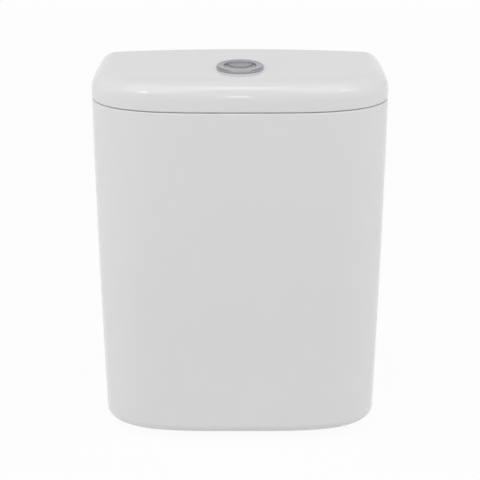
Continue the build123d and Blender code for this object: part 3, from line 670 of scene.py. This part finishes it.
lidLow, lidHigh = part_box("lid")
lid = {
    "top": lidHigh[2], "crown": 3.6 * mm, "edgeRound": 23 * mm, "footRound": 1.2 * mm,
    "roofUnder": lidHigh[2] - 13.5 * mm, "buttonHole": 24 * mm,
    "seatGap": 0.5 * mm, "seatInset": 3.5 * mm,      # the dark line between lid and tank
    "crease": 0.2 * mm,          # how tight the inner corners of the foot are
    "skirtInset": 11.5 * mm, "skirtThickness": 5.5 * mm, "skirtFoot": lidLow[2],
    "skirtRound": 1.5 * mm, "hollowRound": 7 * mm, "rearEdge": 2.2 * mm,
    # how finely the curves are drawn, and where rings lie across the flats
    "topRings": 24, "edgeSteps": 20, "sideRings": 4, "footSteps": 4, "skirtSteps": 3,
    "hollowSteps": 5, "hollowRings": (0.3, 0.6, 1), "roofRings": (0.03, 0.35, 0.7, 0.97, 1),
}


def crownHeight(x):
    # the lid's top is an arc from side to side
    halfSpan = tank["rimHalfWidth"] - lid["edgeRound"]
    radius = (halfSpan ** 2 + lid["crown"] ** 2) / (2 * lid["crown"])
    return lid["top"] - radius + math.sqrt(radius ** 2 - x ** 2)


def makeLid():
    edgeRound, footRound, crease = lid["edgeRound"], lid["footRound"], lid["crease"]
    skirtRound, hollowRound, skirtFoot = lid["skirtRound"], lid["hollowRound"], lid["skirtFoot"]
    section = sectionAt(tank["rim"])
    rings = []

    def outside(inset, height):
        rings.append(level(outerOutline(section, inset), height))

    def inside(inset, height, wallHere):
        rings.append(level(innerOutline(section, inset, wallHere), height))

    # the top, from the button's hole to the shoulder, and the round edge
    shoulder = outerOutline(section, edgeRound)
    mouth = roundHole(shoulder, lid["buttonHole"])
    for step in range(lid["topRings"] + 1):
        points = between(mouth, shoulder, step / lid["topRings"])
        rings.append([(x, y, crownHeight(x)) for x, y in points])
    shoulderHeights = [crownHeight(x) for x, y in shoulder]
    for sine, cosine in quarter(lid["edgeSteps"], 1):
        points = outerOutline(section, edgeRound * (1 - sine))
        drop = edgeRound * (1 - cosine)
        rings.append([(x, y, top - drop) for (x, y), top in zip(points, shoulderHeights)])
    # down the side, under the foot and onto the tank's rim
    side = outerOutline(section, 0)
    foot = tank["rim"] + lid["seatGap"]
    footTop = foot + footRound
    for step in range(1, lid["sideRings"] + 1):
        share = step / lid["sideRings"]
        rings.append([(x, y, (top - edgeRound) * (1 - share) + footTop * share)
                      for (x, y), top in zip(side, shoulderHeights)])
    for sine, cosine in quarter(lid["footSteps"], 1):
        outside(footRound * (1 - cosine), footTop - footRound * sine)
    outside(lid["seatInset"] - crease, foot)
    outside(lid["seatInset"], tank["seat"] + crease)
    outside(lid["seatInset"] + crease, tank["seat"])
    # the skirt that keeps the lid in place
    outer, inner = lid["skirtInset"], lid["skirtInset"] + lid["skirtThickness"]
    skirtLow = skirtFoot + skirtRound
    for height in (tank["seat"], tank["seat"] - crease, skirtLow):
        inside(outer, height, outer)
    for sine, cosine in quarter(lid["skirtSteps"], 1):
        inside(outer + skirtRound * (1 - cosine), skirtLow - skirtRound * sine, outer)
    for sine, cosine in quarter(lid["skirtSteps"]):
        inside(inner - skirtRound * (1 - sine), skirtFoot + skirtRound * (1 - cosine), outer)
    # the hollow, its roof and the button's hole
    hollowTop = lid["roofUnder"] - hollowRound
    for share in lid["hollowRings"]:
        inside(inner, skirtLow + (hollowTop - skirtLow) * share, outer)
    for sine, cosine in quarter(lid["hollowSteps"], 1):
        inside(inner + hollowRound * (1 - cosine), hollowTop + hollowRound * sine, inner)
    roof = innerOutline(section, inner + hollowRound, inner)
    for share in lid["roofRings"]:
        rings.append(level(between(roof, mouth, share), lid["roofUnder"]))
    rings.append([(x, y, crownHeight(x)) for x, y in mouth])

    weighNormals(glazedPiece(rings, lid["rearEdge"], "chinaLid", "lid"))


makeLid()
print("lid made")


# Push button

bezelLow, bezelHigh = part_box("button_bezel")
button = {
    # the ring
    "bezelRadius": bezelHigh[0], "top": bezelHigh[2], "foot": bezelHigh[2] - 3.1 * mm,
    "shankFoot": bezelLow[2], "shankRadius": 23 * mm, "plainRadius": 22.9 * mm, "bore": 20 * mm,
    "lapDepth": 0.8 * mm, "lapThickness": 0.8 * mm,      # its edge turned down over the gasket
    "lapEdge": 0.2 * mm, "edgeRound": 1.6 * mm, "lipRound": 0.7 * mm, "dish": 0.5 * mm,
    # the two caps
    "capTop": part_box("full_flush_button")[1][2], "capUnder": bezelHigh[2] - 10 * mm,
    "capPlay": 0.5 * mm, "capGap": 1.2 * mm, "capRound": 0.7 * mm,
    "capDish": 0.6 * mm, "dishReach": 8 * mm, "splitRadius": 17.2 * mm, "splitReach": 4.5 * mm,
    "socketRadius": 5 * mm, "socketFoot": bezelHigh[2] - 15 * mm,
    "fullRodY": 8 * mm, "halfRodY": -12 * mm,
    # how finely the curves are drawn
    "segments": 128, "arcSteps": 72, "socketSegments": 40, "edgeSteps": 8, "lipSteps": 5,
    "capSteps": 4, "capRings": (0.06, 0.12, 0.2, 0.3, 0.45, 0.7, 1),
}


def makeBezel():
    outer, inner, top = button["bezelRadius"], button["bore"], button["top"]
    edge, lip, dish = button["edgeRound"], button["lipRound"], button["dish"]
    shank, plain, foot = button["shankRadius"], button["plainRadius"], button["foot"]
    lap, lapInner = foot - button["lapDepth"], outer - button["lapThickness"]
    lapEdge = button["lapEdge"]
    profile = [(shank, button["shankFoot"]), (shank, lid["roofUnder"]), (plain, lid["roofUnder"]),
               (plain, foot), (lapInner, foot), (lapInner, lap), (outer - lapEdge, lap),
               (outer, lap + lapEdge)]
    for sine, cosine in quarter(button["edgeSteps"]):
        profile.append((outer - edge * (1 - cosine), top - edge * (1 - sine)))
    profile.append(((outer - edge + inner + lip) / 2, top - dish / 2))
    for sine, cosine in quarter(button["lipSteps"]):
        profile.append((inner + lip * (1 - sine), top - dish - lip * (1 - cosine)))
    profile.append((inner, button["shankFoot"]))
    bm = turnedShell(profile, button["segments"])
    cutThread(bm, "button_bezel")
    piece = finishPiece(bm, "bezelRing", materials["chrome_plate"], "button_bezel")
    # the faces of the turned-down edge take the lighter chrome, a painted highlight
    piece.data.materials.append(rimPaintedHighlightMaterial)
    for face in piece.data.polygons:
        onPaintedHighlight = math.hypot(face.center.x, face.center.y) > outer - edge / 2
        if onPaintedHighlight and face.center.z < top - edge:
            face.material_index = 1


def arcPoints(centreY, radius, start, end):
    steps = button["arcSteps"]
    angles = [start + (end - start) * step / steps for step in range(steps)]
    return [(radius * math.cos(angle), centreY + radius * math.sin(angle)) for angle in angles]


def capOutline(kind):
    # two arcs from tip to tip: the full cap is where the two circles meet, the half cap
    # is the crescent in front of it
    gap = button["capGap"] / 2
    field = button["bore"] - button["capPlay"]
    splitCentre = button["splitRadius"] - button["splitReach"]
    split = button["splitRadius"] + (gap if kind == "half" else -gap)
    meetY = (field ** 2 - split ** 2 + splitCentre ** 2) / (2 * splitCentre)
    fieldAngle = math.asin(meetY / field)
    splitAngle = math.asin((meetY - splitCentre) / split)
    left, right = math.pi - splitAngle, 2 * math.pi + splitAngle
    if kind == "full":
        back = arcPoints(0, field, fieldAngle, math.pi - fieldAngle)
        return back + arcPoints(splitCentre, split, left, right)
    front = arcPoints(0, field, math.pi - fieldAngle, 2 * math.pi + fieldAngle)
    return front + arcPoints(splitCentre, split, right, left)


def capRing(edge, inset, height, dish=0):
    # the outline drawn in: each point moves towards the one across from it, at most halfway,
    # and sinks into the dish
    ring = []
    for count, (x, y) in enumerate(edge):
        acrossX, acrossY = edge[-count]
        span = math.dist((x, y), (acrossX, acrossY))
        moved = min(inset, span / 2)
        share = moved / span if span else 0
        sunk = min(1, moved / button["dishReach"])
        ring.append((x + (acrossX - x) * share, y + (acrossY - y) * share,
                     height - dish * sunk * (2 - sunk)))
    return ring


def makeCap(kind, name, node, rodY):
    edge, bore = capOutline(kind), button["bore"]
    lip, top, under = button["capRound"], button["capTop"], button["capUnder"]
    rings = [capRing(edge, bore, under), capRing(edge, 0, under), capRing(edge, 0, top - lip)]
    for sine, cosine in quarter(button["capSteps"], 1):
        rings.append(capRing(edge, lip * (1 - cosine), top - lip * (1 - sine)))
    for share in button["capRings"]:
        rings.append(capRing(edge, lip + (bore - lip) * share, top, button["capDish"]))
    bm = ringShell(rings)
    # the socket of the push rod
    radius, foot = button["socketRadius"], button["socketFoot"]
    bmesh.ops.create_cone(bm, cap_ends=True, segments=button["socketSegments"], radius1=radius,
                          radius2=radius, depth=under - foot,
                          matrix=Matrix.Translation((0, rodY, (under + foot) / 2)))
    finishPiece(bm, name, capChromeWithPaintedShade, node)


makeBezel()
makeCap("full", "fullFlushCap", "full_flush_button", button["fullRodY"])
makeCap("half", "halfFlushCap", "half_flush_button", button["halfRodY"])
print("push button made")


# Return springs of the buttons: a wound wire with a closed coil at each end

spring = {"wire": 0.5 * mm, "turns": 6, "segments": 40, "wireSegments": 10}


def wireAt(radius, height):
    # the wire's round section
    wire, steps = spring["wire"], spring["wireSegments"]
    turns = [2 * math.pi * step / steps for step in range(steps)]
    return [(radius + wire * math.cos(turn), height + wire * math.sin(turn)) for turn in turns]


def makeSpring(node, name):
    low, high = [Vector(corner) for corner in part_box(node)]
    wire, turns, segments = spring["wire"], spring["turns"], spring["segments"]
    centre = ((low.x + high.x) / 2, (low.y + high.y) / 2)
    radius = (high.x - low.x) / 2 - wire
    rise = high.z - low.z - 2 * wire
    bottom, top = wireAt(radius, low.z + wire), wireAt(radius, high.z - wire)
    bm = turnedShell(bottom, segments, centre)
    addShell(bm, turnedShell(top, segments, centre))
    addShell(bm, windUp(bottom, turns, rise / turns, segments, centre))
    piece = finishPiece(bm, name, materials["bolt_steel"], node)
    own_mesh(piece)


makeSpring("full_return_spring", "fullReturnSpring")
makeSpring("half_return_spring", "halfReturnSpring")
print("springs wound")


# Pieces whose shape the frame already gives: a merged copy with soft edges and its real finish

softEdge = {
    # slot or node: the edge rounding that its mould, its die or its tumbling leaves, in mm
    "valve_white": 0.35, "valve_grey": 0.35, "valve_blue": 0.3, "rod_white": 0.25,
    "black_rubber": 0.4, "seal_silicone": 0.3, "foam_gasket": 0.8, "bolt_steel": 0.25,
    "bezel_gasket": 0.15,
}
copied = {
    "weldGap": 0.005 * mm,
    "flatAngle": 0.5,            # degrees, faces that bend by less become one
    "edgeAngle": 35,             # degrees, edges that bend by more are rounded
    "edgeSegments": 2,
}
remade = {"cistern_body", "lid", "button_bezel", "full_flush_button", "half_flush_button",
          "full_return_spring", "half_return_spring"}


def finishCopy(node):
    slot = nodeSlot[node]
    bm = bmesh.new()
    bm.from_mesh(frame["nodes"][node].data)
    bmesh.ops.remove_doubles(bm, verts=bm.verts, dist=copied["weldGap"])
    bmesh.ops.dissolve_limit(bm, angle_limit=math.radians(copied["flatAngle"]), verts=bm.verts,
                             edges=bm.edges)
    edges = [edge for edge in bm.edges
             if edge.calc_face_angle() > math.radians(copied["edgeAngle"])]
    bmesh.ops.bevel(bm, geom=edges, affect="EDGES", offset=softEdge.get(node, softEdge[slot]) * mm,
                    offset_type="OFFSET", segments=copied["edgeSegments"], profile=0.5, material=-1)
    if node in threads:
        cutThread(bm, node)
    first, *others = node.split("_")
    name = first + "".join(word.capitalize() for word in others)
    weighNormals(finishPiece(bm, name, materials[slot], node))


for node in sorted(set(nodeSlot) - remade):
    finishCopy(node)
print("other pieces finished:", len(nodeSlot) - len(remade))


# Studio

studio = {
    "floorSize": 24, "floorCells": 4, "floorHeight": cadBox[0][2], "floorColour": "#ececec",
    "floorGlow": "#ffffff", "floorOwnLight": 0.95,       # share of the floor that shows as white
    "skyLight": 0.28,            # what the surroundings give to dull surfaces
    "skyColour": "#ffffff",
}
lamps = {
    # name: (place, size, watts, seen in reflections), all aimed at the middle of the object
    "frontLeftSoftbox": ((-1.30, -1.69, 2.99), (2.8, 2.8), 30.5, True),
    "frontRightSoftbox": ((1.30, -1.69, 2.99), (2.8, 2.8), 27.5, True),
    "leftSoftbox": ((-2.86, -0.50, 0.98), (3.0, 3.0), 29.5, False),
    "rightSoftbox": ((2.86, -0.50, 0.98), (3.0, 3.0), 27, False),
    "backFill": ((0.00, 3.20, 0.30), (3.0, 0.9), 26, False),
    # small lamps that only draw the glints on the lid's glazed edge
    "leftGlint": ((-1.55, -2.16, 2.00), (0.35, 0.50), 2.2, True),
    "rightGlint": ((1.82, -1.64, 2.31), (0.40, 0.50), 2.4, True),
    "frontGlint": ((-0.01, -3.04, 0.78), (0.08, 0.45), 0.45, True),
}
camera = {
    "target": (0, 14 * mm, 199.75 * mm), "distance": 3.0, "pitch": 18.79,
    "lens": 178.55, "sensor": 36,      # mm, as a camera gives them
}


def whiteWhereSeen(tree, dull, bright):
    # a mirror, a glass and the camera see the bright shader, everything else the dull one
    path = addNode(tree, "ShaderNodeLightPath")
    seen = addNode(tree, "ShaderNodeMath", {"operation": "MAXIMUM"},
                   links={0: path.outputs["Is Camera Ray"], 1: path.outputs["Is Glossy Ray"]})
    seen = addNode(tree, "ShaderNodeMath", {"operation": "MAXIMUM"},
                   links={0: seen.outputs[0], 1: path.outputs["Is Transmission Ray"]})
    return addNode(tree, "ShaderNodeMixShader", links={0: seen.outputs[0], 1: dull, 2: bright})


def makeFloor():
    bm = bmesh.new()
    bmesh.ops.create_grid(bm, x_segments=studio["floorCells"], y_segments=studio["floorCells"],
                          size=studio["floorSize"] / 2,
                          matrix=Matrix.Translation((0, 0, studio["floorHeight"])))
    floor = meshObject(bm, "studioFloor")
    material, tree = newMaterial("paleFloor")
    dull = addNode(tree, "ShaderNodeBsdfDiffuse", values={"Color": linear(studio["floorColour"])})
    glow = addNode(tree, "ShaderNodeEmission",
                   values={"Color": linear(studio["floorGlow"]), "Strength": 1})
    bright = addNode(tree, "ShaderNodeMixShader", values={0: studio["floorOwnLight"]},
                     links={1: dull.outputs["BSDF"], 2: glow.outputs["Emission"]})
    mixed = whiteWhereSeen(tree, dull.outputs["BSDF"], bright.outputs["Shader"])
    addNode(tree, "ShaderNodeOutputMaterial", links={"Surface": mixed.outputs["Shader"]})
    floor.data.materials.append(material)


def makeSky():
    world = bpy.data.worlds.new("studio")
    bpy.context.scene.world = world
    world.use_nodes = True
    tree = world.node_tree
    tree.nodes.clear()
    colour = linear(studio["skyColour"])
    dull = addNode(tree, "ShaderNodeBackground",
                   values={"Color": colour, "Strength": studio["skyLight"]})
    bright = addNode(tree, "ShaderNodeBackground", values={"Color": colour, "Strength": 1})
    mixed = whiteWhereSeen(tree, dull.outputs["Background"], bright.outputs["Background"])
    addNode(tree, "ShaderNodeOutputWorld", links={"Surface": mixed.outputs["Shader"]})


def makeLamps():
    aim = Vector(camera["target"])
    for name, (place, size, watts, mirrored) in lamps.items():
        lamp = bpy.data.lights.new(name, "AREA")
        lamp.shape = "RECTANGLE"
        lamp.size, lamp.size_y = size
        lamp.energy = watts
        holder = placeInScene(name, lamp)
        holder.location = place
        holder.rotation_euler = (aim - Vector(place)).to_track_quat("-Z", "Y").to_euler()
        holder.visible_camera = False
        holder.visible_glossy = mirrored


def makeCamera():
    pitch = math.radians(camera["pitch"])
    lens = bpy.data.cameras.new("photoCamera")
    lens.lens = camera["lens"]
    lens.sensor_width = camera["sensor"]
    holder = placeInScene("photoCamera", lens)
    back = Vector((0, -math.cos(pitch), math.sin(pitch))) * camera["distance"]
    holder.location = Vector(camera["target"]) + back
    holder.rotation_euler = (math.pi / 2 - pitch, 0, 0)
    bpy.context.scene.camera = holder


makeFloor()
makeSky()
makeLamps()
makeCamera()
bpy.context.scene.view_settings.view_transform = "Standard"
print("studio made")
